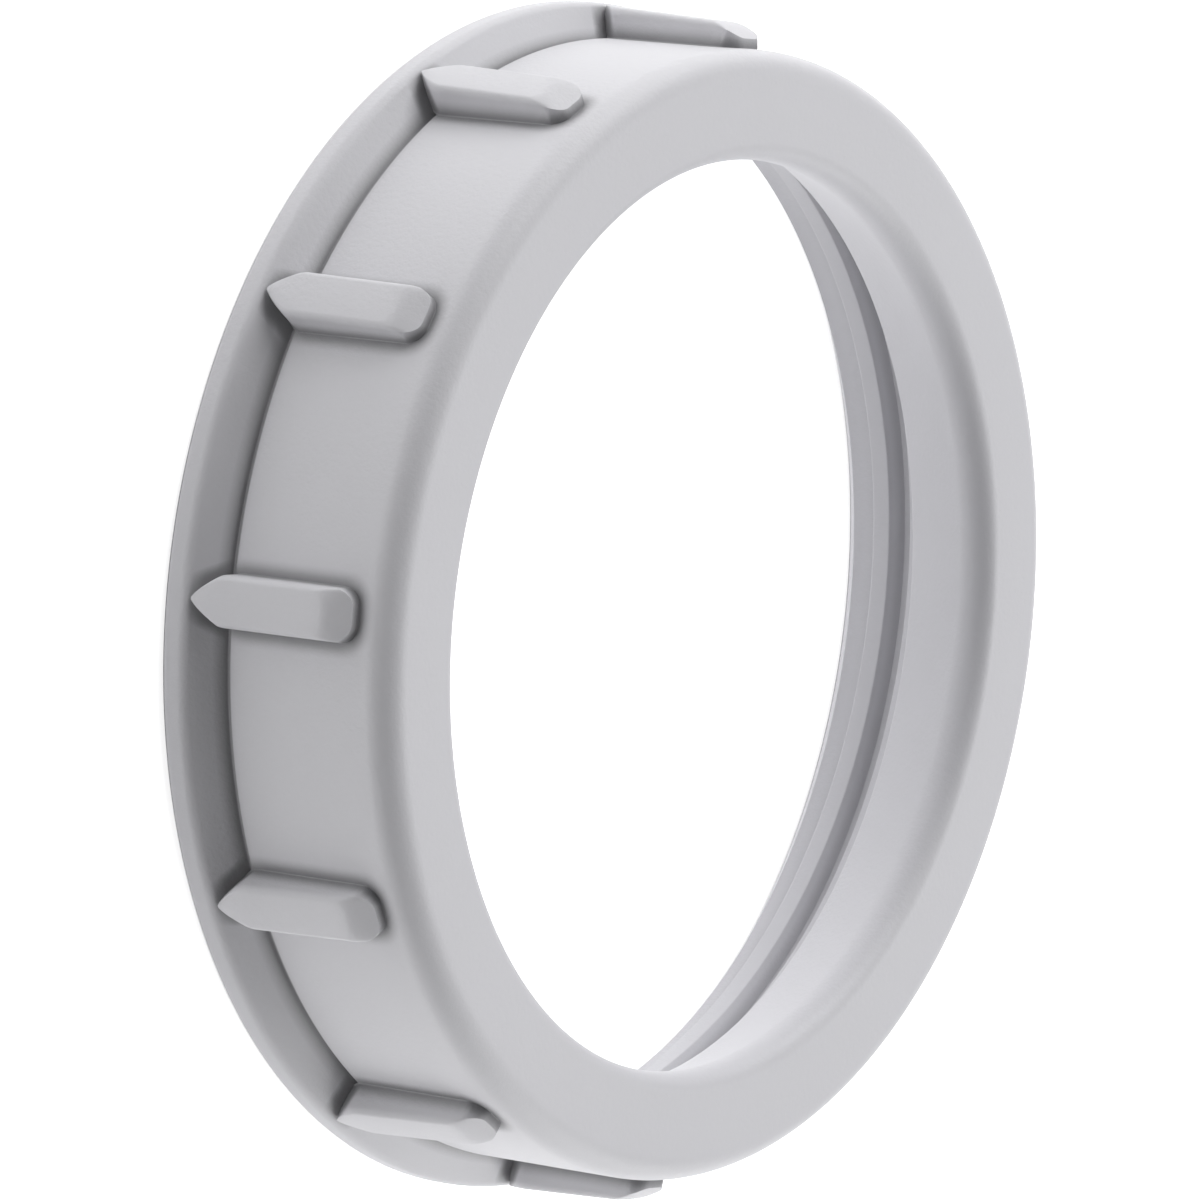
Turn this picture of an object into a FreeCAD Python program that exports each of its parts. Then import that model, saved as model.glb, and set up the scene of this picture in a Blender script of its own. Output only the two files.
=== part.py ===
"""Plastic insulating bushing for the threaded end of a 2-1/2 in trade size conduit.

One moulded ring. It lies on the back of its flange, mouth down, with the throat face up.
The origin is the centre of the flange's back face, +Z is the ring's axis, and one rib
points along +X. All sizes are in millimetres and live in the sheet called dims.
"""
import FreeCAD, Part
import math
import os

import Sketcher
from FreeCAD import Vector

os.makedirs("parts", exist_ok=True)
doc = FreeCAD.newDocument("insulating_bushing")

# Driving dimensions
DIMENSIONS = {
    "body_height": 17.2,            # flange back to throat face
    "bore_diameter": 73.2,          # takes the threaded end of the conduit
    "wall_thickness": 2.1,          # bore to the plain outside between the ribs
    "face_edge_radius": 2.1,        # rounding from the barrel to the throat face
    "lip_reach": 5.3,               # how far the lip stands in from the bore at the throat
    "throat_rounding": 1.9,         # smooth bend that the wires lie on
    "lip_depth": 8.1,               # throat face to the back of the lip
    "lip_back_width": 3.1,          # the lip's flat back, a stop for the conduit's end
    "mouth_chamfer_height": 1.9,    # lead-in at the mouth
    "mouth_chamfer_width": 1.5,
    "flange_overhang": 2.35,        # the flange's rim beyond the barrel
    "rim_bevel": 0.5,               # back edge of the rim
    "rim_height": 1.5,              # flange back to the top of the straight rim
    "shoulder_height": 0.9,         # steep part of the flange's front, above the rim
    "shoulder_width": 0.65,
    "slope_height": 1.3,            # the rest of the front, up to the barrel
    "rib_count": 12,
    "rib_width": 3.7,
    "rib_nose_gap": 2.7,            # throat face to the foot of the nose
    "rib_nose_lean": 1.2,           # how far the nose leans back over its height
    "rib_nose_radius": 1.1,
    "rib_front_height": 1.6,        # above the barrel, behind the nose
    "rib_rim_drop": 0.2,            # the rib's top lies this far inside the rim at the flange
    "rib_edge_radius": 0.7,         # along the top's edges and round the nose
    "rib_foot_depth": 0.9,          # how far the foot starts inside the barrel
    "rib_tail_height": 1.3,         # the rib's end, hidden inside the flange
    "rib_stock": 1.0,               # stock over the rib's top that is cut away
}

sheet = doc.addObject("Spreadsheet::Sheet", "dims")
for row, (alias, number) in enumerate(DIMENSIONS.items(), start=1):
    sheet.set(f"A{row}", alias)
    sheet.set(f"B{row}", str(number))
    sheet.setAlias(f"B{row}", alias)
doc.recompute()


def size(alias):
    """Return one driving dimension from the sheet."""
    return float(sheet.get(alias))


def new_sketch(body, name, role):
    """Add a sketch on one of the body's own origin planes."""
    plane = next(item for item in body.Origin.OriginFeatures if item.Role == role)
    sketch = body.newObject("Sketcher::SketchObject", name)
    sketch.AttachmentSupport = [(plane, "")]
    sketch.MapMode = "FlatFace"
    return sketch


def line(sketch, start, end):
    """Add a straight edge between two points and return its number."""
    return sketch.addGeometry(Part.LineSegment(Vector(*start, 0), Vector(*end, 0)), False)


def arc(sketch, centre, radius, first, last):
    """Add an arc that runs counter-clockwise between two angles in degrees."""
    circle = Part.Circle(Vector(*centre, 0), Vector(0, 0, 1), radius)
    return sketch.addGeometry(
        Part.ArcOfCircle(circle, math.radians(first), math.radians(last)), False)


def bind(sketch, kind, places, formula, value):
    """Add a sized constraint and tie it to a formula in the sheet's names."""
    number = sketch.addConstraint(Sketcher.Constraint(kind, *places, value))
    sketch.setExpression(f"Constraints[{number}]", formula)


def across(sketch, edge, point, formula, value):
    """Fix how far a point lies from the sketch's vertical axis."""
    bind(sketch, "DistanceX", (-1, 1, edge, point), formula, value)


def above(sketch, edge, point, formula, value):
    """Fix how far a point lies from the sketch's horizontal axis."""
    bind(sketch, "DistanceY", (-1, 1, edge, point), formula, value)


START, END, CENTRE = 1, 2, 3

height = size("body_height")
bore = size("bore_diameter") / 2
barrel = bore + size("wall_thickness")
throat = bore - size("lip_reach")
lip_back = bore - size("lip_back_width")
flange = barrel + size("flange_overhang")

# The same radii and heights as formulas in the sheet's names
BORE = "dims.bore_diameter / 2"
BARREL = f"{BORE} + dims.wall_thickness"
FLANGE = f"{BARREL} + dims.flange_overhang"
THROAT = f"{BORE} - dims.lip_reach"
SHOULDER = "dims.rim_height + dims.shoulder_height"

bushing = doc.addObject("PartDesign::Body", "bushing")
bushing.Label = "bushing"


def draw_ring_section():
    """Draw half the ring's section: flange, barrel, throat lip, bore and mouth."""
    s = new_sketch(bushing, "ring_section", "XZ_Plane")
    edge_radius = size("face_edge_radius")
    bend = size("throat_rounding")
    lip_level = height - size("lip_depth")
    bevel = size("rim_bevel")
    rim_top = size("rim_height")
    shoulder_top = rim_top + size("shoulder_height")
    shoulder = flange - size("shoulder_width")
    crease = shoulder_top + size("slope_height")
    lead_height = size("mouth_chamfer_height")
    lead_width = size("mouth_chamfer_width")
    # Rough direction in which the throat's bend ends, which the constraints then settle
    cone_turn = 206

    back = line(s, (bore + lead_width, 0), (flange - bevel, 0))
    rim_edge = line(s, (flange - bevel, 0), (flange, bevel))
    rim = line(s, (flange, bevel), (flange, rim_top))
    rim_front = line(s, (flange, rim_top), (shoulder, shoulder_top))
    slope = line(s, (shoulder, shoulder_top), (barrel, crease))
    side = line(s, (barrel, crease), (barrel, height - edge_radius))
    face_edge = arc(s, (barrel - edge_radius, height - edge_radius), edge_radius, 0, 90)
    face = line(s, (barrel - edge_radius, height), (throat + bend, height))
    throat_bend = arc(s, (throat + bend, height - bend), bend, 90, cone_turn)
    cone = line(s, (throat, height - 1.5 * bend), (lip_back, lip_level))
    lip_flat = line(s, (lip_back, lip_level), (bore, lip_level))
    wall = line(s, (bore, lip_level), (bore, lead_height))
    lead = line(s, (bore, lead_height), (bore + lead_width, 0))

    for first, second in ((side, face_edge), (face, throat_bend), (face_edge, face),
                          (throat_bend, cone)):
        s.addConstraint(Sketcher.Constraint("Tangent", first, END, second, START))
    for first, second in ((back, rim_edge), (rim_edge, rim), (rim, rim_front),
                          (rim_front, slope), (slope, side), (cone, lip_flat),
                          (lip_flat, wall), (wall, lead), (lead, back)):
        s.addConstraint(Sketcher.Constraint("Coincident", first, END, second, START))
    for edge in (back, face, lip_flat):
        s.addConstraint(Sketcher.Constraint("Horizontal", edge))
    for edge in (rim, side, wall):
        s.addConstraint(Sketcher.Constraint("Vertical", edge))
    s.addConstraint(Sketcher.Constraint("PointOnObject", back, START, -1))

    bind(s, "Radius", (face_edge,), "dims.face_edge_radius", edge_radius)
    bind(s, "Radius", (throat_bend,), "dims.throat_rounding", bend)
    across(s, rim_edge, START, f"{FLANGE} - dims.rim_bevel", flange - bevel)
    across(s, rim_edge, END, FLANGE, flange)
    above(s, rim_edge, END, "dims.rim_bevel", bevel)
    above(s, rim, END, "dims.rim_height", rim_top)
    across(s, slope, START, f"{FLANGE} - dims.shoulder_width", shoulder)
    above(s, slope, START, SHOULDER, shoulder_top)
    across(s, slope, END, BARREL, barrel)
    above(s, slope, END, f"{SHOULDER} + dims.slope_height", crease)
    above(s, face, START, "dims.body_height", height)
    across(s, throat_bend, CENTRE, f"{THROAT} + dims.throat_rounding", throat + bend)
    across(s, lip_flat, START, f"{BORE} - dims.lip_back_width", lip_back)
    above(s, lip_flat, START, "dims.body_height - dims.lip_depth", lip_level)
    across(s, wall, START, BORE, bore)
    above(s, wall, END, "dims.mouth_chamfer_height", lead_height)
    across(s, lead, END, f"{BORE} + dims.mouth_chamfer_width", bore + lead_width)
    return s


def draw_rib_outline():
    """Draw a rib's foot as seen from outside."""
    s = new_sketch(bushing, "rib_outline", "YZ_Plane")
    s.setExpression(".AttachmentOffset.Base.z", f"{BARREL} - dims.rib_foot_depth")
    half = size("rib_width") / 2
    tail = size("rib_tail_height")
    tip = height - size("rib_nose_gap") + size("rib_nose_lean")
    end = line(s, (-half, tail), (half, tail))
    right = line(s, (half, tail), (half, tip))
    nose = line(s, (half, tip), (-half, tip))
    left = line(s, (-half, tip), (-half, tail))
    for first, second in ((end, right), (right, nose), (nose, left), (left, end)):
        s.addConstraint(Sketcher.Constraint("Coincident", first, END, second, START))
    s.addConstraint(Sketcher.Constraint("Horizontal", nose))
    for edge in (left, right):
        s.addConstraint(Sketcher.Constraint("Vertical", edge))
    s.addConstraint(Sketcher.Constraint("Symmetric", end, START, end, END, -2))
    bind(s, "DistanceX", (end, START, end, END), "dims.rib_width", 2 * half)
    above(s, end, END, "dims.rib_tail_height", tail)
    above(s, nose, START, "dims.body_height - dims.rib_nose_gap + dims.rib_nose_lean", tip)
    return s


def draw_rib_trim():
    """Draw what is cut off a rib's stock: over its tapered top and round its nose."""
    s = new_sketch(bushing, "rib_trim", "XZ_Plane")
    tip = height - size("rib_nose_gap")
    lean = size("rib_nose_lean")
    radius = size("rib_nose_radius")
    foot = barrel - size("rib_foot_depth")
    front = barrel + size("rib_front_height")
    back = flange - size("rib_rim_drop")
    tail = size("rib_tail_height")
    stock = size("rib_stock")
    nose = line(s, (foot, tip + lean), (front - 0.5 * radius, tip - 0.6 * lean))
    turn = arc(s, (front - radius, tip - lean - 0.5 * radius), radius, 3, 53)
    top = line(s, (front, tip - lean - radius), (back, tail))
    out = line(s, (back, tail), (back + stock, tail))
    rise = line(s, (back + stock, tail), (back + stock, tip + lean + stock))
    over = line(s, (back + stock, tip + lean + stock), (foot, tip + lean + stock))
    drop = line(s, (foot, tip + lean + stock), (foot, tip + lean))
    heel = s.addGeometry(Part.Point(Vector(barrel, tip, 0)), True)
    peak = s.addGeometry(Part.Point(Vector(front, tip - lean, 0)), True)
    s.addConstraint(Sketcher.Constraint("Tangent", nose, END, turn, END))
    s.addConstraint(Sketcher.Constraint("Tangent", turn, START, top, START))
    for first, second in ((top, out), (out, rise), (rise, over), (over, drop), (drop, nose)):
        s.addConstraint(Sketcher.Constraint("Coincident", first, END, second, START))
    for edge in (out, over):
        s.addConstraint(Sketcher.Constraint("Horizontal", edge))
    for edge in (rise, drop):
        s.addConstraint(Sketcher.Constraint("Vertical", edge))
    for point, edge in ((heel, nose), (peak, nose), (peak, top)):
        s.addConstraint(Sketcher.Constraint("PointOnObject", point, START, edge))
    bind(s, "Radius", (turn,), "dims.rib_nose_radius", radius)
    across(s, heel, START, BARREL, barrel)
    above(s, heel, START, "dims.body_height - dims.rib_nose_gap", tip)
    across(s, nose, START, f"{BARREL} - dims.rib_foot_depth", foot)
    across(s, peak, START, f"{BARREL} + dims.rib_front_height", front)
    above(s, peak, START, "dims.body_height - dims.rib_nose_gap - dims.rib_nose_lean",
          tip - lean)
    across(s, top, END, f"{FLANGE} - dims.rib_rim_drop", back)
    above(s, top, END, "dims.rib_tail_height", tail)
    across(s, rise, START, f"{FLANGE} - dims.rib_rim_drop + dims.rib_stock", back + stock)
    above(s, over, END, "dims.body_height - dims.rib_nose_gap + dims.rib_nose_lean"
          " + dims.rib_stock", tip + lean + stock)
    return s


def axis_of(body, role):
    """Return one of the body's own origin axes as a reference."""
    return (next(item for item in body.Origin.OriginFeatures if item.Role == role), [""])


def middle_normal(face):
    """Return a face's outward normal at the middle of its surface."""
    u_low, u_high, v_low, v_high = face.ParameterRange
    return face.normalAt((u_low + u_high) / 2, (v_low + v_high) / 2)


def upper_edges(shape):
    """Name the edges between a rib's side walls and its top and nose."""
    names = []
    for number, edge in enumerate(shape.Edges, start=1):
        normals = [middle_normal(face) for face in shape.ancestorsOfType(edge, Part.Face)]
        has_wall = any(abs(normal.y) > 0.5 for normal in normals)
        has_cover = any(abs(normal.y) < 0.1 and normal.x > 0.5 for normal in normals)
        if has_wall and has_cover:
            names.append(f"Edge{number}")
    return names


# One rib: a block, its top and nose cut to shape, its upper edges rounded
rib = bushing.newObject("PartDesign::Pad", "rib")
rib.Profile = draw_rib_outline()
rib.setExpression("Length", "dims.rib_foot_depth + dims.flange_overhang - dims.rib_rim_drop"
                  " + dims.rib_stock")
doc.recompute()

rib_cut = bushing.newObject("PartDesign::Pocket", "rib_cut")
rib_cut.Profile = draw_rib_trim()
rib_cut.Midplane = True
rib_cut.setExpression("Length", "2 * dims.rib_width")
doc.recompute()

rib_edges = bushing.newObject("PartDesign::Fillet", "rib_edges")
rib_edges.Base = (rib_cut, upper_edges(rib_cut.Shape))
rib_edges.setExpression("Radius", "dims.rib_edge_radius")
doc.recompute()

ribs = bushing.newObject("PartDesign::PolarPattern", "ribs")
ribs.TransformMode = "Whole shape"
ribs.Axis = axis_of(bushing, "Z_Axis")
ribs.Angle = 360
ribs.setExpression("Occurrences", "dims.rib_count")
bushing.Tip = ribs
doc.recompute()

# Ring: flange, barrel and throat lip in one turned section, joined to the ribs
ring = bushing.newObject("PartDesign::Revolution", "ring")
ring.Profile = draw_ring_section()
ring.ReferenceAxis = axis_of(bushing, "Z_Axis")
ring.Angle = 360
doc.recompute()

# Every object has to be sound before anything is written
for item in doc.Objects:
    if {"Invalid", "Error"} & set(item.State):
        raise RuntimeError(f"{item.Name} failed: {item.State}")
    if item.isDerivedFrom("PartDesign::Feature") and (
            item.Shape.isNull() or not item.Shape.isValid()):
        raise RuntimeError(f"{item.Name} has no valid shape")
if len(bushing.Shape.Solids) != 1 or not bushing.Shape.isValid():
    raise RuntimeError("the bushing is not one valid solid")

bushing.Shape.exportStep(f"parts/{bushing.Label}.step")
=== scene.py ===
"""Looks of a moulded plastic insulating bushing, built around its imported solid.

The bushing lies on the back of its flange, mouth down. The ring, its grip ribs and the
thread ridge in its bore are made again here with the soft roundings of the moulding.
The scene is in metres, in the solid's own frame: +Z is the ring's axis, one rib is on +X.
The sizes of the pieces are written in millimetres.
"""
import logging
import math
from dataclasses import dataclass, field
from enum import Enum

import bmesh
import bpy
from mathutils import Matrix, Vector

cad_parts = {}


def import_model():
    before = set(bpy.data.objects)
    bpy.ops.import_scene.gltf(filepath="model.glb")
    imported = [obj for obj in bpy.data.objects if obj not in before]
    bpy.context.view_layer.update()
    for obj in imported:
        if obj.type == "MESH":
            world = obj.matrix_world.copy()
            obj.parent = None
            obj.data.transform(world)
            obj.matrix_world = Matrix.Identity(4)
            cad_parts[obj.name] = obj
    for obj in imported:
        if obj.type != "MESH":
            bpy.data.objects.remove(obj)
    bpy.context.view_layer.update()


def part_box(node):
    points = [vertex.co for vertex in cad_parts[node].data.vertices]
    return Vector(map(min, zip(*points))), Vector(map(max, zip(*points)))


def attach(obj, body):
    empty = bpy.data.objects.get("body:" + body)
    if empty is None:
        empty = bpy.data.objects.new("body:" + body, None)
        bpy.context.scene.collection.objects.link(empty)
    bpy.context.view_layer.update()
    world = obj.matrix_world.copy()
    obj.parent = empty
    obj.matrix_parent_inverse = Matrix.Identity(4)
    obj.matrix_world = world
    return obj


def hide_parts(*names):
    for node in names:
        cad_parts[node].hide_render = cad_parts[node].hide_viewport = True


LOG = logging.getLogger("bushing")
NODE = "bushing"
BODY = "root"
MM = 0.001
SHARP_FROM = math.radians(38.0)
MERGE_DISTANCE = 1e-7
WHITE = (1.0, 1.0, 1.0, 1.0)
Point = tuple[float, float]
Corner = tuple[float, float, float]


@dataclass(frozen=True)
class MouldedPlastic:
    """The finish of one moulded surface.

    Attributes:
        name: The material's name.
        colour: Linear base colour.
        roughness: Middle roughness of the surface.
        grain_depth: Depth of the fine moulded grain, in metres.
        cloud: Share by which the colour drifts over the surface.
        ior: Index of refraction.
        sheen: Level of the plain reflection.
    """

    name: str
    colour: tuple[float, float, float]
    roughness: float
    grain_depth: float
    cloud: float = 0.05
    ior: float = 1.49
    sheen: float = 0.42


class Finish(Enum):
    """The two finishes of the part: outside faces, and the smoother cored bore."""

    OUTER = MouldedPlastic("moulded_plastic", (0.618, 0.615, 0.642), 0.42, 0.00003)
    CORED = MouldedPlastic("cored_plastic", (0.618, 0.615, 0.642), 0.34, 0.00002)


@dataclass(frozen=True)
class ToneAndPaintedShade:
    """How the moulded surface varies, with shade painted into its corners and feet.

    Heights, radii and distances are in metres.

    Attributes:
        cloud_scale: Scale of the colour's slow drift.
        flow_scale: Scale of the wide flow marks.
        grain_scale: Scale of the fine grain.
        grain_roughness: Roughness that the grain adds where it stands up.
        painted_shade_strength: Share of the colour that a tight corner loses to painted shade.
        bore_painted_shade_share: Share of the painted shade that is kept inside the bore.
        corner_samples: Samples of the occlusion test that finds corners for the painted shade.
        corner_distance: How far off a face may be and still make a corner with painted shade.
        open_from: Openness above which a face has no painted shade.
        closed_from: Openness below which a corner has its full painted shade.
        floor_height: Height under which nothing has painted shade.
        clear_height: Height over which the painted shade is full.
        bore_radius: Radius up to which only the bore's share of painted shade is kept.
        outside_radius: Radius from which the painted shade is full.
    """

    cloud_scale: float = 40.0
    flow_scale: float = 9.0
    grain_scale: float = 2600.0
    grain_roughness: float = 0.12
    painted_shade_strength: float = 0.57
    bore_painted_shade_share: float = 0.3
    corner_samples: int = 8
    corner_distance: float = 0.0012
    open_from: float = 0.99
    closed_from: float = 0.7
    floor_height: float = 0.0012
    clear_height: float = 0.0026
    bore_radius: float = 0.0368
    outside_radius: float = 0.0376


def link(tree: bpy.types.NodeTree, source: bpy.types.NodeSocket, target: bpy.types.NodeSocket) -> None:
    """Join two sockets of a node tree."""
    tree.links.new(source, target)


def add_node(tree: bpy.types.NodeTree, kind: str, **settings: object) -> bpy.types.Node:
    """Add a node and set its inputs and properties by name.

    Args:
        tree: The tree that gets the node.
        kind: The node's type name.
        settings: Properties of the node, or input names with spaces written as underscores.

    Returns:
        The new node.
    """
    node = tree.nodes.new(kind)
    for key, value in settings.items():
        label = key.replace("_", " ").title()
        if hasattr(node, key):
            setattr(node, key, value)
        else:
            node.inputs[label].default_value = value
    return node


def grain_and_painted_shade_group(tone: ToneAndPaintedShade) -> bpy.types.NodeTree:
    """Build the shader group for moulded plastic: drifting colour, painted corner shade and grain.

    Args:
        tone: How the surface varies.

    Returns:
        The node group, with the colour, roughness and height that vary over the surface;
        the colour carries painted shade in corners and at feet.
    """
    group = bpy.data.node_groups.new("grain_and_painted_shade", "ShaderNodeTree")
    face = group.interface
    face.new_socket("Colour", in_out="INPUT", socket_type="NodeSocketColor")
    for name in ("Roughness", "Cloud"):
        face.new_socket(name, in_out="INPUT", socket_type="NodeSocketFloat")
    for name, value in (("Cloud Scale", tone.cloud_scale), ("Grain Scale", tone.grain_scale),
                        ("Flow Scale", tone.flow_scale), ("Corner Shade", tone.painted_shade_strength),
                        ("Bore Share", tone.bore_painted_shade_share)):
        face.new_socket(name, in_out="INPUT", socket_type="NodeSocketFloat").default_value = value
    face.new_socket("Colour", in_out="OUTPUT", socket_type="NodeSocketColor")
    face.new_socket("Roughness", in_out="OUTPUT", socket_type="NodeSocketFloat")
    face.new_socket("Height", in_out="OUTPUT", socket_type="NodeSocketFloat")
    entry = group.nodes.new("NodeGroupInput")
    leave = group.nodes.new("NodeGroupOutput")
    place = add_node(group, "ShaderNodeTexCoord")
    clouds = add_node(group, "ShaderNodeTexNoise", Detail=3.0, Roughness=0.55)
    flow = add_node(group, "ShaderNodeTexNoise", Detail=2.0, Roughness=0.5, Distortion=0.8)
    grain = add_node(group, "ShaderNodeTexNoise", Detail=2.0, Roughness=0.6)
    for texture, scale in ((clouds, "Cloud Scale"), (grain, "Grain Scale"), (flow, "Flow Scale")):
        link(group, place.outputs["Object"], texture.inputs["Vector"])
        link(group, entry.outputs[scale], texture.inputs["Scale"])
    # The colour's drift about its middle: one plus the cloud share times both noises less one
    drift = add_node(group, "ShaderNodeMath", operation="ADD")
    link(group, clouds.outputs["Fac"], drift.inputs[0])
    link(group, flow.outputs["Fac"], drift.inputs[1])
    centred = add_node(group, "ShaderNodeMath", operation="SUBTRACT")
    link(group, drift.outputs[0], centred.inputs[0])
    centred.inputs[1].default_value = 1.0
    scaled = add_node(group, "ShaderNodeMath", operation="MULTIPLY_ADD")
    link(group, centred.outputs[0], scaled.inputs[0])
    link(group, entry.outputs["Cloud"], scaled.inputs[1])
    scaled.inputs[2].default_value = 1.0
    colour_with_painted_shade = add_node(group, "ShaderNodeVectorMath", operation="SCALE")
    link(group, entry.outputs["Colour"], colour_with_painted_shade.inputs[0])
    # Painted shade: colour darkened in corners and at feet, less so in the bore and not at all close to
    # the floor
    corner = add_node(group, "ShaderNodeAmbientOcclusion", samples=tone.corner_samples,
                      Distance=tone.corner_distance)
    depth = add_node(group, "ShaderNodeMapRange")
    height = add_node(group, "ShaderNodeSeparateXYZ")
    clear = add_node(group, "ShaderNodeMapRange")
    # The radius is the length of the place once its height is left out
    level = add_node(group, "ShaderNodeVectorMath", operation="MULTIPLY")
    level.inputs[1].default_value = (1.0, 1.0, 0.0)
    reach = add_node(group, "ShaderNodeVectorMath", operation="LENGTH")
    outside = add_node(group, "ShaderNodeMapRange")
    for node, first, last in ((depth, tone.open_from, tone.closed_from),
                              (clear, tone.floor_height, tone.clear_height),
                              (outside, tone.bore_radius, tone.outside_radius)):
        node.inputs["From Min"].default_value = first
        node.inputs["From Max"].default_value = last
    link(group, place.outputs["Object"], level.inputs[0])
    link(group, level.outputs[0], reach.inputs[0])
    link(group, reach.outputs["Value"], outside.inputs["Value"])
    link(group, entry.outputs["Bore Share"], outside.inputs["To Min"])
    link(group, corner.outputs["AO"], depth.inputs["Value"])
    link(group, entry.outputs["Corner Shade"], depth.inputs["To Max"])
    link(group, place.outputs["Object"], height.inputs["Vector"])
    link(group, height.outputs["Z"], clear.inputs["Value"])
    where = add_node(group, "ShaderNodeMath", operation="MULTIPLY")
    link(group, outside.outputs["Result"], where.inputs[0])
    link(group, clear.outputs["Result"], where.inputs[1])
    painted_shade = add_node(group, "ShaderNodeMath", operation="MULTIPLY")
    link(group, depth.outputs["Result"], painted_shade.inputs[0])
    link(group, where.outputs[0], painted_shade.inputs[1])
    open_share = add_node(group, "ShaderNodeMath", operation="SUBTRACT")
    open_share.inputs[0].default_value = 1.0
    link(group, painted_shade.outputs[0], open_share.inputs[1])
    # The colour's own drift times what the painted shade leaves of it
    shade = add_node(group, "ShaderNodeMath", operation="MULTIPLY")
    link(group, scaled.outputs[0], shade.inputs[0])
    link(group, open_share.outputs[0], shade.inputs[1])
    link(group, shade.outputs[0], colour_with_painted_shade.inputs["Scale"])
    link(group, colour_with_painted_shade.outputs[0], leave.inputs["Colour"])
    # Roughness rises a little where the grain stands up
    rough = add_node(group, "ShaderNodeMath", operation="MULTIPLY_ADD")
    link(group, grain.outputs["Fac"], rough.inputs[0])
    rough.inputs[1].default_value = tone.grain_roughness
    link(group, entry.outputs["Roughness"], rough.inputs[2])
    link(group, rough.outputs[0], leave.inputs["Roughness"])
    link(group, grain.outputs["Fac"], leave.inputs["Height"])
    return group


def plastic_material(finish: MouldedPlastic, grain: bpy.types.NodeTree) -> bpy.types.Material:
    """Make the material of one moulded finish.

    Args:
        finish: Colour, roughness and grain of the surface.
        grain: The shared shader group of grain and painted corner shade.

    Returns:
        The new material.
    """
    material = bpy.data.materials.new(finish.name)
    material.use_nodes = True
    tree = material.node_tree
    shader = tree.nodes["Principled BSDF"]
    shader.inputs["IOR"].default_value = finish.ior
    shader.inputs["Specular IOR Level"].default_value = finish.sheen
    surface = tree.nodes.new("ShaderNodeGroup")
    surface.node_tree = grain
    surface.inputs["Colour"].default_value = (*finish.colour, 1.0)
    surface.inputs["Roughness"].default_value = finish.roughness
    surface.inputs["Cloud"].default_value = finish.cloud
    bump = add_node(tree, "ShaderNodeBump", Distance=finish.grain_depth, Strength=1.0)
    # The base colour comes with shade painted into corners and at feet
    link(tree, surface.outputs["Colour"], shader.inputs["Base Color"])
    link(tree, surface.outputs["Roughness"], shader.inputs["Roughness"])
    link(tree, surface.outputs["Height"], bump.inputs["Height"])
    link(tree, bump.outputs["Normal"], shader.inputs["Normal"])
    return material


def rounded_outline(corners: list[Corner], steps: int) -> list[Point]:
    """Round the corners of a closed outline.

    Args:
        corners: Each corner's place and the radius of its rounding.
        steps: Edges on each rounding.

    Returns:
        The points of the rounded outline, in order.
    """
    points: list[Point] = []
    count = len(corners)
    for index, (x, y, radius) in enumerate(corners):
        if radius <= 0.0:
            points.append((x, y))
            continue
        corner = Vector((x, y))
        back = (Vector(corners[index - 1][:2]) - corner).normalized()
        ahead = (Vector(corners[(index + 1) % count][:2]) - corner).normalized()
        half_turn = (math.pi - back.angle(ahead)) / 2
        reach = radius * math.tan(half_turn)
        middle = corner + (back + ahead).normalized() * (radius / math.cos(half_turn))
        first, last = corner + back * reach, corner + ahead * reach
        start = math.atan2(*(first - middle).yx)
        sweep = math.remainder(math.atan2(*(last - middle).yx) - start, math.tau)
        for step in range(steps + 1):
            turn = start + sweep * step / steps
            points.append((middle.x + radius * math.cos(turn), middle.y + radius * math.sin(turn)))
    return points


def curve_mesh(name: str, points: list[Point]) -> bpy.types.Object:
    """Make a closed loop of edges in the XY plane, for a node tree to read.

    Args:
        name: The object's name.
        points: The loop's points, in order.

    Returns:
        The new object, linked to the scene.
    """
    mesh = bpy.data.meshes.new(name)
    count = len(points)
    edges = [(index, (index + 1) % count) for index in range(count)]
    mesh.from_pydata([(x, y, 0.0) for x, y in points], edges, [])
    loop = bpy.data.objects.new(name, mesh)
    bpy.context.scene.collection.objects.link(loop)
    return loop


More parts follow.
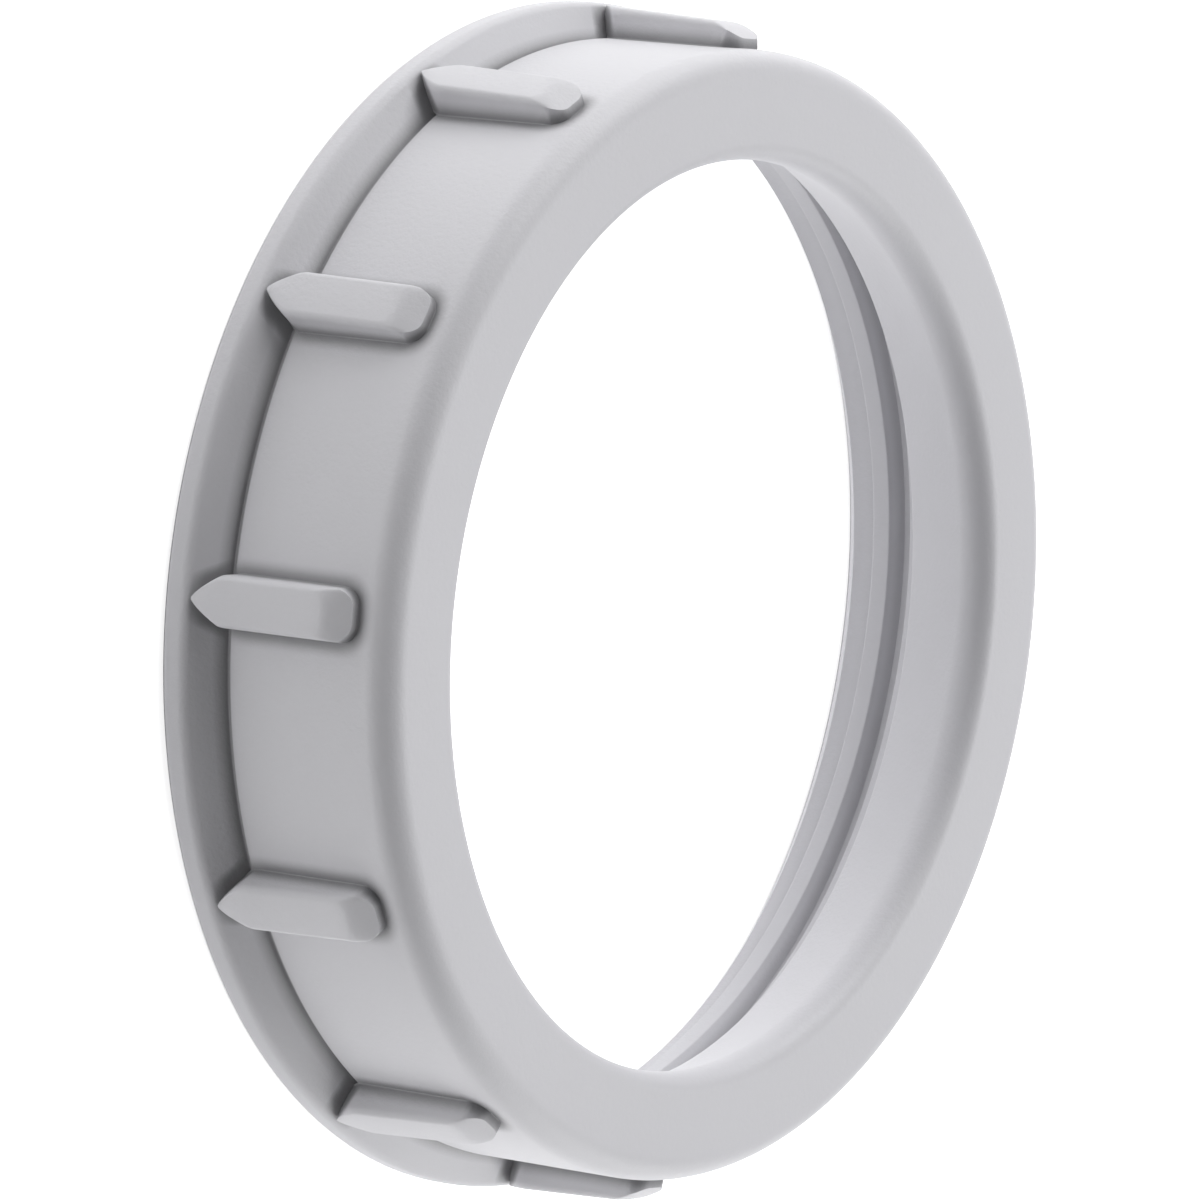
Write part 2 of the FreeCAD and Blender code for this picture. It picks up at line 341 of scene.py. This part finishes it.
class GeometryTree:
    """A Geometry Nodes tree with named inputs that ends in one joined mesh."""

    def __init__(self, name: str) -> None:
        """Start an empty tree."""
        self.tree = bpy.data.node_groups.new(name, "GeometryNodeTree")
        self.tree.interface.new_socket("Geometry", in_out="INPUT", socket_type="NodeSocketGeometry")
        self.tree.interface.new_socket("Geometry", in_out="OUTPUT", socket_type="NodeSocketGeometry")
        self.entry = self.tree.nodes.new("NodeGroupInput")
        self.leave = self.tree.nodes.new("NodeGroupOutput")
        self.values: dict[str, object] = {}

    def size(self, name: str, value: float) -> bpy.types.NodeSocket:
        """Add a named size to the tree.

        Args:
            name: The input's name.
            value: Its value on this piece. A whole number makes a whole-number input.

        Returns:
            The socket that gives the size inside the tree.
        """
        kind = "NodeSocketInt" if isinstance(value, int) else "NodeSocketFloat"
        socket = self.tree.interface.new_socket(name, in_out="INPUT", socket_type=kind)
        self.values[socket.identifier] = value
        return self.entry.outputs[name]

    def add(self, kind: str, **settings: object) -> bpy.types.Node:
        """Add a node to the tree."""
        return add_node(self.tree, kind, **settings)

    def join(self, source: bpy.types.NodeSocket, target: bpy.types.NodeSocket) -> None:
        """Join two sockets."""
        link(self.tree, source, target)

    def math(self, operation: str, first: object, second: object) -> bpy.types.NodeSocket:
        """Add one sum and return its result.

        Args:
            operation: The sum's name.
            first: A socket or a number.
            second: A socket or a number.

        Returns:
            The socket with the result.
        """
        node = self.tree.nodes.new("ShaderNodeMath")
        node.operation = operation
        for slot, value in enumerate((first, second)):
            if isinstance(value, bpy.types.NodeSocket):
                self.join(value, node.inputs[slot])
            else:
                node.inputs[slot].default_value = value
        return node.outputs[0]

    def close(self, geometry: bpy.types.NodeSocket, material: bpy.types.Material) -> None:
        """End the tree: make instances real and give the mesh its material."""
        real = self.tree.nodes.new("GeometryNodeRealizeInstances")
        dress = self.tree.nodes.new("GeometryNodeSetMaterial")
        dress.inputs["Material"].default_value = material
        self.join(geometry, real.inputs["Geometry"])
        self.join(real.outputs["Geometry"], dress.inputs["Geometry"])
        self.join(dress.outputs["Geometry"], self.leave.inputs["Geometry"])

    def build(self, name: str) -> bpy.types.Object:
        """Run the tree once and keep what it makes as a plain mesh.

        Args:
            name: The new piece's name.

        Returns:
            The finished object, at the origin, with no modifier left.
        """
        carrier = bpy.data.objects.new(name, bpy.data.meshes.new(name + "_start"))
        bpy.context.scene.collection.objects.link(carrier)
        modifier = carrier.modifiers.new("tree", "NODES")
        modifier.node_group = self.tree
        for identifier, value in self.values.items():
            modifier[identifier] = value
        depsgraph = bpy.context.evaluated_depsgraph_get()
        mesh = bpy.data.meshes.new_from_object(carrier.evaluated_get(depsgraph))
        carrier.modifiers.remove(modifier)
        start = carrier.data
        carrier.data = mesh
        bpy.data.meshes.remove(start)
        mesh.name = name
        tidy_mesh(mesh)
        mesh.shade_smooth()
        mesh.set_sharp_from_angle(angle=SHARP_FROM)
        return carrier


def tidy_mesh(mesh: bpy.types.Mesh) -> None:
    """Merge doubled points and turn every face outwards."""
    work = bmesh.new()
    work.from_mesh(mesh)
    bmesh.ops.remove_doubles(work, verts=work.verts, dist=MERGE_DISTANCE)
    bmesh.ops.recalc_face_normals(work, faces=work.faces)
    work.to_mesh(mesh)
    work.free()


@dataclass
class RingBody:
    """The turned body: flange, barrel, throat lip, bore and mouth. Sizes in millimetres."""

    height: float
    flange_radius: float
    barrel_radius: float = 38.7
    throat_radius: float = 31.2
    bore_radius: float = 36.6
    face_edge_reach: float = 1.9
    face_edge_drop: float = 2.1
    throat_reach: float = 1.3
    throat_drop: float = 1.8
    lip_depth: float = 8.1
    lip_back_radius: float = 33.4
    lip_edge_radius: float = 0.4
    rim_back_radius: float = 0.7
    rim_front_radius: float = 0.9
    rim_shoulder: float = 1.94
    crease_height: float = 3.7
    crease_radius: float = 0.12
    crease_cut: float = 0.4
    mouth_height: float = 1.9
    mouth_width: float = 2.3
    soft_edge: float = 0.15
    segments: int = 480
    steps: int = 10
    edge_steps: int = 18

    def oval(self, middle: float, reach: float, drop: float, first: float,
             last: float) -> list[Corner]:
        """Return part of an oval edge of the face as corners that need no rounding.

        Args:
            middle: Radius of the oval's middle; the oval touches the face's height there.
            reach: Half the oval's size across.
            drop: Half the oval's size down.
            first: The part's first angle, in degrees from straight outwards.
            last: The part's last angle.

        Returns:
            The points as (radius, height, 0).
        """
        corners: list[Corner] = []
        for step in range(self.edge_steps + 1):
            turn = math.radians(first + (last - first) * step / self.edge_steps)
            corners.append((middle + reach * math.cos(turn),
                            self.height - drop + drop * math.sin(turn), 0.0))
        return corners

    def throat_end(self) -> float:
        """Return the angle at which the throat's oval edge runs on into its cone, in degrees."""
        lean = (self.lip_back_radius - self.throat_radius) / (self.lip_depth - self.throat_drop)
        return 180.0 + math.degrees(math.atan(lean * self.throat_drop / self.throat_reach))

    def section(self) -> list[Point]:
        """Return the outline of half the ring's section, across and up."""
        corners = [
            (self.bore_radius + self.mouth_width, 0.0, self.soft_edge),
            (self.flange_radius, 0.0, self.rim_back_radius),
            (self.flange_radius, self.rim_shoulder, self.rim_front_radius),
            (self.barrel_radius - self.crease_cut, self.crease_height, self.crease_radius),
            (self.barrel_radius, self.crease_height + self.crease_cut, self.crease_radius),
            *self.oval(self.barrel_radius - self.face_edge_reach, self.face_edge_reach,
                       self.face_edge_drop, 0.0, 90.0),
            *self.oval(self.throat_radius + self.throat_reach, self.throat_reach,
                       self.throat_drop, 90.0, self.throat_end()),
            (self.lip_back_radius, self.height - self.lip_depth, self.lip_edge_radius),
            (self.bore_radius, self.height - self.lip_depth, self.soft_edge),
            (self.bore_radius, self.mouth_height, self.soft_edge),
        ]
        return rounded_outline(corners, self.steps)

    def build(self, material: bpy.types.Material) -> bpy.types.Object:
        """Turn the section round the axis.

        Args:
            material: The plastic's material.

        Returns:
            The ring as one closed mesh.
        """
        # The section is laid out from the barrel's radius, with its height turned downwards,
        # because a curve's section stands with its second axis against the path's binormal
        outline = [((x - self.barrel_radius) * MM, -y * MM) for x, y in self.section()]
        loop = curve_mesh("ring_section", outline)
        tree = GeometryTree("turned_ring")
        radius = tree.size("Path Radius", self.barrel_radius * MM)
        segments = tree.size("Segments", self.segments)
        path = tree.add("GeometryNodeCurvePrimitiveCircle")
        tree.join(radius, path.inputs["Radius"])
        tree.join(segments, path.inputs["Resolution"])
        upright = tree.add("GeometryNodeSetCurveNormal", mode="Z_UP")
        tree.join(path.outputs["Curve"], upright.inputs["Curve"])
        source = tree.add("GeometryNodeObjectInfo")
        source.inputs["Object"].default_value = loop
        section = tree.add("GeometryNodeMeshToCurve")
        tree.join(source.outputs["Geometry"], section.inputs["Mesh"])
        sweep = tree.add("GeometryNodeCurveToMesh")
        tree.join(upright.outputs["Curve"], sweep.inputs["Curve"])
        tree.join(section.outputs["Curve"], sweep.inputs["Profile Curve"])
        tree.close(sweep.outputs["Mesh"], material)
        ring = tree.build("ring_body")
        bpy.data.objects.remove(loop)
        return ring


@dataclass
class ThreadRidge:
    """The right-hand thread ridge inside the bore. Sizes in millimetres and degrees."""

    wall_radius: float
    pitch: float = 3.175
    crest_radius: float = 35.5
    crest_width: float = 1.35
    flank_angle: float = 30.0
    foot_depth: float = 0.3
    crest_rounding: float = 0.16
    start_height: float = 4.2
    start_angle: float = -86.7
    turns: float = 1.75
    fade_turns: float = 0.07
    fade_start: float = 0.02
    points_per_turn: int = 360
    steps: int = 4

    def profile(self) -> list[Point]:
        """Return the ridge's outline about the bore's wall, across and up."""
        half_crest = self.crest_width / 2
        tall = self.wall_radius - self.crest_radius
        half_foot = half_crest + (tall + self.foot_depth) * math.tan(math.radians(self.flank_angle))
        corners = [
            (self.foot_depth, -half_foot, 0.0),
            (self.foot_depth, half_foot, 0.0),
            (-tall, half_crest, self.crest_rounding),
            (-tall, -half_crest, self.crest_rounding),
        ]
        return rounded_outline(corners, self.steps)

    def build(self, material: bpy.types.Material) -> bpy.types.Object:
        """Sweep the ridge up its helix.

        Args:
            material: The plastic's material.

        Returns:
            The ridge as one closed mesh.
        """
        loop = curve_mesh("ridge_profile", [(x * MM, -y * MM) for x, y in self.profile()])
        tree = GeometryTree("thread_helix")
        radius = tree.size("Wall Radius", self.wall_radius * MM)
        turns = tree.size("Turns", self.turns)
        rise = tree.size("Rise", self.turns * self.pitch * MM)
        resolution = tree.size("Points Per Turn", self.points_per_turn)
        low = tree.size("Start Height", self.start_height * MM)
        angle = tree.size("Start Angle", math.radians(self.start_angle))
        fade = tree.size("Fade", self.fade_turns / self.turns)
        helix = tree.add("GeometryNodeCurveSpiral")
        helix.inputs["Reverse"].default_value = True
        for socket, name in ((radius, "Start Radius"), (radius, "End Radius"), (turns, "Rotations"),
                             (rise, "Height"), (resolution, "Resolution")):
            tree.join(socket, helix.inputs[name])
        lift = tree.add("ShaderNodeCombineXYZ")
        tree.join(low, lift.inputs["Z"])
        turn = tree.add("ShaderNodeCombineXYZ")
        tree.join(angle, turn.inputs["Z"])
        place = tree.add("GeometryNodeTransform")
        tree.join(helix.outputs["Curve"], place.inputs["Geometry"])
        tree.join(lift.outputs[0], place.inputs["Translation"])
        tree.join(turn.outputs[0], place.inputs["Rotation"])
        upright = tree.add("GeometryNodeSetCurveNormal", mode="Z_UP")
        tree.join(place.outputs["Geometry"], upright.inputs["Curve"])
        # The ridge grows out of the wall over its first short stretch
        along = tree.add("GeometryNodeSplineParameter")
        grow = tree.add("ShaderNodeMapRange", interpolation_type="SMOOTHSTEP")
        tree.join(along.outputs["Factor"], grow.inputs["Value"])
        tree.join(fade, grow.inputs["From Max"])
        grow.inputs["To Min"].default_value = self.fade_start
        source = tree.add("GeometryNodeObjectInfo")
        source.inputs["Object"].default_value = loop
        section = tree.add("GeometryNodeMeshToCurve")
        tree.join(source.outputs["Geometry"], section.inputs["Mesh"])
        sweep = tree.add("GeometryNodeCurveToMesh")
        sweep.inputs["Fill Caps"].default_value = True
        tree.join(upright.outputs["Curve"], sweep.inputs["Curve"])
        tree.join(section.outputs["Curve"], sweep.inputs["Profile Curve"])
        tree.join(grow.outputs["Result"], sweep.inputs["Scale"])
        tree.close(sweep.outputs["Mesh"], material)
        ridge = tree.build("thread_ridge")
        bpy.data.objects.remove(loop)
        return ridge


@dataclass
class GripRibs:
    """The grip ribs round the barrel, each with a soft nose and a filleted foot. Sizes in mm."""

    barrel_radius: float
    face_height: float
    count: int = 12
    width: float = 3.65
    nose_gap: float = 2.7
    nose_lean: float = 0.15
    nose_run: float = 1.9
    nose_drop: float = 0.95
    nose_curve: float = 1.5
    corner_radius: float = 1.6
    top_corner_radius: float = 0.8
    front_height: float = 1.65
    back_height: float = 2.2
    tail: float = 2.3
    tail_run: float = 2.1
    tail_curve: float = 0.62
    tail_tip: float = 0.06
    draft: float = 4.0
    edge_rounding: float = 0.45
    foot_fillet: float = 0.12
    sink: float = 0.03
    side_steps: int = 20
    side_bias: float = 1.6
    corner_steps: int = 8
    wall_steps: int = 7

    def round_edge(self) -> list[Point]:
        """Return the rounded edge of a rib's side, as (in from the wall, down from the top)."""
        turns = [math.pi / 2 * step / self.wall_steps for step in range(self.wall_steps + 1)]
        return [(self.edge_rounding * (1 - math.cos(turn)), self.edge_rounding * (1 - math.sin(turn)))
                for turn in turns]

    def nose_edge(self) -> list[Point]:
        """Return the sloping edge of a rib's nose, as (in from the wall, down from the top)."""
        shares = [step / self.wall_steps for step in range(self.wall_steps + 1)]
        return [(self.nose_run * share, self.nose_drop * (1 - share) ** self.nose_curve)
                for share in shares]

    def levels(self, lean: float, edge: list[Point]) -> list[Point]:
        """Return a wall's profile from its foot to its top.

        Args:
            lean: How far the wall leans in over its height.
            edge: Its upper edge, as (in from the wall, down from the top).

        Returns:
            How far in from the foot's outline and how high each level lies, as (in, height).
        """
        tall = self.front_height
        slope = math.atan2(lean, tall)
        fillet_reach = self.foot_fillet * math.tan((math.pi / 2 - slope) / 2)
        points: list[Point] = []
        # Hollow fillet at the foot, from the barrel up into the wall
        for step in range(self.wall_steps + 1):
            turn = (math.pi / 2 - slope) * step / self.wall_steps
            points.append((-fillet_reach + self.foot_fillet * math.sin(turn),
                           self.foot_fillet * (1 - math.cos(turn))))
        edge_in = lean * (tall - edge[0][1]) / tall
        return points + [(edge_in + across, tall - down) for across, down in edge]

    def contour(self, half: float, tip: float, corner: float) -> list[Corner]:
        """Return one level's outline from the tail round the nose and back.

        Args:
            half: Half the level's width.
            tip: Height of its nose.
            corner: Radius of its two corners.

        Returns:
            Each point's place across and up, and how much it belongs to the nose, from 0 to 1.
        """
        points: list[Corner] = []
        for step in range(self.side_steps):
            up = self.tail + (tip - corner - self.tail) * (step / self.side_steps) ** self.side_bias
            near = min(1.0, (up - self.tail) / self.tail_run)
            points.append((half * max(self.tail_tip, near ** self.tail_curve), up, 0.0))
        for step in range(self.corner_steps + 1):
            turn = math.pi / 2 * step / self.corner_steps
            points.append((half - corner + corner * math.cos(turn),
                           tip - corner + corner * math.sin(turn), math.sin(turn) ** 2))
        return points + [(-across, up, share) for across, up, share in reversed(points)]

    def single(self, material: bpy.types.Material) -> bpy.types.Object:
        """Make the rib that points along +X.

        Args:
            material: The plastic's material.

        Returns:
            The rib as one closed shell, sunk a little into the barrel.
        """
        lean = self.front_height * math.tan(math.radians(self.draft))
        sides = self.levels(lean, self.round_edge())
        noses = self.levels(self.nose_lean, self.nose_edge())
        tip = self.face_height - self.nose_gap
        top_line = tip - self.nose_lean
        work = bmesh.new()
        rings: list[list[bmesh.types.BMVert]] = []
        for number, (side, nose) in enumerate(zip(sides, noses)):
            rise = number / (len(noses) - 1)
            corner = self.corner_radius + (self.top_corner_radius - self.corner_radius) * rise
            ring: list[bmesh.types.BMVert] = []
            for across, up, share in self.contour(self.width / 2 - side[0], tip - nose[0], corner):
                level = (side[1] * (1 - share) + nose[1] * share) / self.front_height
                taper = (top_line - up) / (top_line - self.tail)
                full = self.front_height + (self.back_height - self.front_height) * taper
                foot = math.sqrt(self.barrel_radius ** 2 - across ** 2) - self.sink
                out = foot * (1 - level) + (self.barrel_radius + full) * level
                ring.append(work.verts.new((out * MM, across * MM, up * MM)))
            rings.append(ring)
        for lower, upper in zip(rings, rings[1:]):
            for index in range(len(lower) - 1):
                work.faces.new((lower[index], lower[index + 1], upper[index + 1], upper[index]))
            work.faces.new((lower[-1], lower[0], upper[0], upper[-1]))
        half_count = len(rings[-1]) // 2
        top = rings[-1]
        for index in range(half_count - 1):
            work.faces.new((top[index], top[index + 1], top[-2 - index], top[-1 - index]))
        bottom = rings[0]
        for index in range(half_count - 1):
            work.faces.new((bottom[index + 1], bottom[index], bottom[-1 - index], bottom[-2 - index]))
        mesh = bpy.data.meshes.new("grip_rib")
        work.to_mesh(mesh)
        work.free()
        mesh.materials.append(material)
        rib = bpy.data.objects.new("grip_rib", mesh)
        bpy.context.scene.collection.objects.link(rib)
        return rib

    def build(self, material: bpy.types.Material) -> bpy.types.Object:
        """Set the ribs evenly round the axis.

        Args:
            material: The plastic's material.

        Returns:
            All ribs as one mesh.
        """
        rib = self.single(material)
        tree = GeometryTree("ribs_round_axis")
        count = tree.size("Count", self.count)
        source = tree.add("GeometryNodeObjectInfo")
        source.inputs["Object"].default_value = rib
        places = tree.add("GeometryNodePoints")
        tree.join(count, places.inputs["Count"])
        index = tree.add("GeometryNodeInputIndex")
        angle = tree.math("MULTIPLY", index.outputs[0], tree.math("DIVIDE", math.tau, count))
        turn = tree.add("ShaderNodeCombineXYZ")
        tree.join(angle, turn.inputs["Z"])
        spread = tree.add("GeometryNodeInstanceOnPoints")
        tree.join(places.outputs[0], spread.inputs["Points"])
        tree.join(source.outputs["Geometry"], spread.inputs["Instance"])
        tree.join(turn.outputs[0], spread.inputs["Rotation"])
        tree.close(spread.outputs["Instances"], material)
        ribs = tree.build("grip_ribs")
        bpy.data.objects.remove(rib)
        return ribs


@dataclass(frozen=True)
class Lamp:
    """One soft lamp that faces the bushing.

    Attributes:
        name: The lamp's name.
        round_axis: Its direction round the ring's axis from +X, in degrees.
        up: Its height over the floor as seen from the bushing, in degrees.
        size: Side of its square face, in metres.
        power: Its power in watts.
    """

    name: str
    round_axis: float
    up: float
    size: float
    power: float


# The light comes from beyond the ring and from below it, none from the camera
LAMPS = (
    Lamp("back_right_lamp", -55.0, 25.0, 0.8, 7.2),
    Lamp("side_lamp", 85.0, 40.0, 0.8, 6.7),
    Lamp("top_lamp", 0.0, 60.0, 0.8, 5.4),
    Lamp("low_left_lamp", 70.0, 12.0, 0.6, 4.1),
    Lamp("low_right_lamp", -85.0, 12.0, 0.6, 1.8),
)


@dataclass
class Studio:
    """A plain pale floor, soft lamps and the camera. Sizes in metres, the lens in millimetres."""

    floor_size: float = 6.0
    floor_tone: float = 0.88
    floor_roughness: float = 0.9
    floor_glow: float = 0.8
    lamp_distance: float = 1.2
    room_light: float = 0.1
    table_height: float = 0.0004
    table_size: float = 0.6
    table_power: float = 0.53
    camera_place: Vector = field(default_factory=lambda: Vector((-0.50278, 0.03733, 0.36439)))
    camera_aim: Vector = field(default_factory=lambda: Vector((-0.00387, 0.00047, 0.0086)))
    camera_roll: float = 97.16
    lens: float = 270.0
    sensor: float = 36.0
    nearest: float = 0.01
    farthest: float = 20.0

    def floor(self) -> None:
        """Lay the floor: white to the eye, with the shadow kept."""
        half = self.floor_size / 2
        mesh = bpy.data.meshes.new("floor")
        mesh.from_pydata([(-half, -half, 0), (half, -half, 0), (half, half, 0), (-half, half, 0)],
                         [], [(0, 1, 2, 3)])
        floor = bpy.data.objects.new("floor", mesh)
        bpy.context.scene.collection.objects.link(floor)
        material = bpy.data.materials.new("pale_floor")
        material.use_nodes = True
        tree = material.node_tree
        shader = tree.nodes["Principled BSDF"]
        shader.inputs["Base Color"].default_value = (*[self.floor_tone] * 3, 1.0)
        shader.inputs["Roughness"].default_value = self.floor_roughness
        shader.inputs["Specular IOR Level"].default_value = 0.0
        path = tree.nodes.new("ShaderNodeLightPath")
        seen = tree.nodes.new("ShaderNodeMath")
        seen.operation = "MAXIMUM"
        link(tree, path.outputs["Is Camera Ray"], seen.inputs[0])
        link(tree, path.outputs["Is Glossy Ray"], seen.inputs[1])
        either = tree.nodes.new("ShaderNodeMath")
        either.operation = "MAXIMUM"
        link(tree, seen.outputs[0], either.inputs[0])
        link(tree, path.outputs["Is Transmission Ray"], either.inputs[1])
        glow = tree.nodes.new("ShaderNodeMath")
        glow.operation = "MULTIPLY"
        glow.inputs[1].default_value = self.floor_glow
        link(tree, either.outputs[0], glow.inputs[0])
        shader.inputs["Emission Color"].default_value = WHITE
        link(tree, glow.outputs[0], shader.inputs["Emission Strength"])
        mesh.materials.append(material)

    def hang(self, lamp: Lamp) -> None:
        """Hang one soft lamp so that it faces the bushing.

        Args:
            lamp: The lamp's place, size and power.
        """
        turn = math.radians(lamp.round_axis)
        rise = math.radians(lamp.up)
        place = self.lamp_distance * Vector((math.cos(turn) * math.cos(rise),
                                             math.sin(turn) * math.cos(rise), math.sin(rise)))
        data = bpy.data.lights.new(lamp.name, "AREA")
        data.shape = "SQUARE"
        data.size = lamp.size
        data.energy = lamp.power
        body = bpy.data.objects.new(lamp.name, data)
        body.location = place
        body.rotation_mode = "QUATERNION"
        body.rotation_quaternion = place.to_track_quat("Z", "Y")
        bpy.context.scene.collection.objects.link(body)

    def light_table(self) -> None:
        """Light the part from below, as pale surroundings do, by a lamp that isn't seen."""
        data = bpy.data.lights.new("light_table", "AREA")
        data.shape = "DISK"
        data.size = self.table_size
        data.energy = self.table_power
        table = bpy.data.objects.new("light_table", data)
        table.location = (0.0, 0.0, self.table_height)
        table.rotation_euler = (math.pi, 0.0, 0.0)
        table.visible_camera = False
        table.visible_glossy = False
        bpy.context.scene.collection.objects.link(table)

    def world(self) -> None:
        """Fill the room with plain soft light, and white where the camera sees past the floor."""
        world = bpy.data.worlds.new("room")
        bpy.context.scene.world = world
        world.use_nodes = True
        tree = world.node_tree
        ground = tree.nodes["Background"]
        ground.inputs["Color"].default_value = WHITE
        path = tree.nodes.new("ShaderNodeLightPath")
        level = tree.nodes.new("ShaderNodeMapRange")
        level.inputs["To Min"].default_value = self.room_light
        level.inputs["To Max"].default_value = 1.0
        link(tree, path.outputs["Is Camera Ray"], level.inputs["Value"])
        link(tree, level.outputs["Result"], ground.inputs["Strength"])

    def camera(self) -> None:
        """Place the camera at the photograph's angle, rolled so that the part stands as it does there."""
        data = bpy.data.cameras.new("camera")
        data.sensor_width = self.sensor
        data.lens = self.lens
        data.clip_start = self.nearest
        data.clip_end = self.farthest
        camera = bpy.data.objects.new("camera", data)
        level = (self.camera_place - self.camera_aim).to_track_quat("Z", "Y").to_matrix().to_4x4()
        roll = Matrix.Rotation(math.radians(self.camera_roll), 4, "Z")
        camera.matrix_world = Matrix.Translation(self.camera_place) @ level @ roll
        bpy.context.scene.collection.objects.link(camera)
        bpy.context.scene.camera = camera

    def build(self) -> None:
        """Set up the whole studio."""
        self.floor()
        for lamp in LAMPS:
            self.hang(lamp)
        self.light_table()
        self.world()
        self.camera()
        bpy.context.scene.view_settings.view_transform = "Standard"


def declare(piece: bpy.types.Object) -> None:
    """Make a finished piece part of the bushing.

    Args:
        piece: The piece.
    """
    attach(piece, BODY)
    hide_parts(NODE)
    LOG.info("%s: %d faces", piece.name, len(piece.data.polygons))


def main() -> None:
    """Build the bushing and its studio around the frame."""
    logging.basicConfig(level=logging.INFO, format="%(name)s: %(message)s")
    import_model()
    low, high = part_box(NODE)
    # Both finishes get painted shade in their corners and at feet through this group
    grain = grain_and_painted_shade_group(ToneAndPaintedShade())
    outer = plastic_material(Finish.OUTER.value, grain)
    cored = plastic_material(Finish.CORED.value, grain)
    ring = RingBody(height=(high.z - low.z) / MM, flange_radius=(high.x - low.x) / 2 / MM)
    ribs = GripRibs(barrel_radius=ring.barrel_radius, face_height=ring.height)
    ridge = ThreadRidge(wall_radius=ring.bore_radius)
    declare(ring.build(outer))
    declare(ribs.build(outer))
    declare(ridge.build(cored))
    Studio().build()


if __name__ == "__main__":
    main()
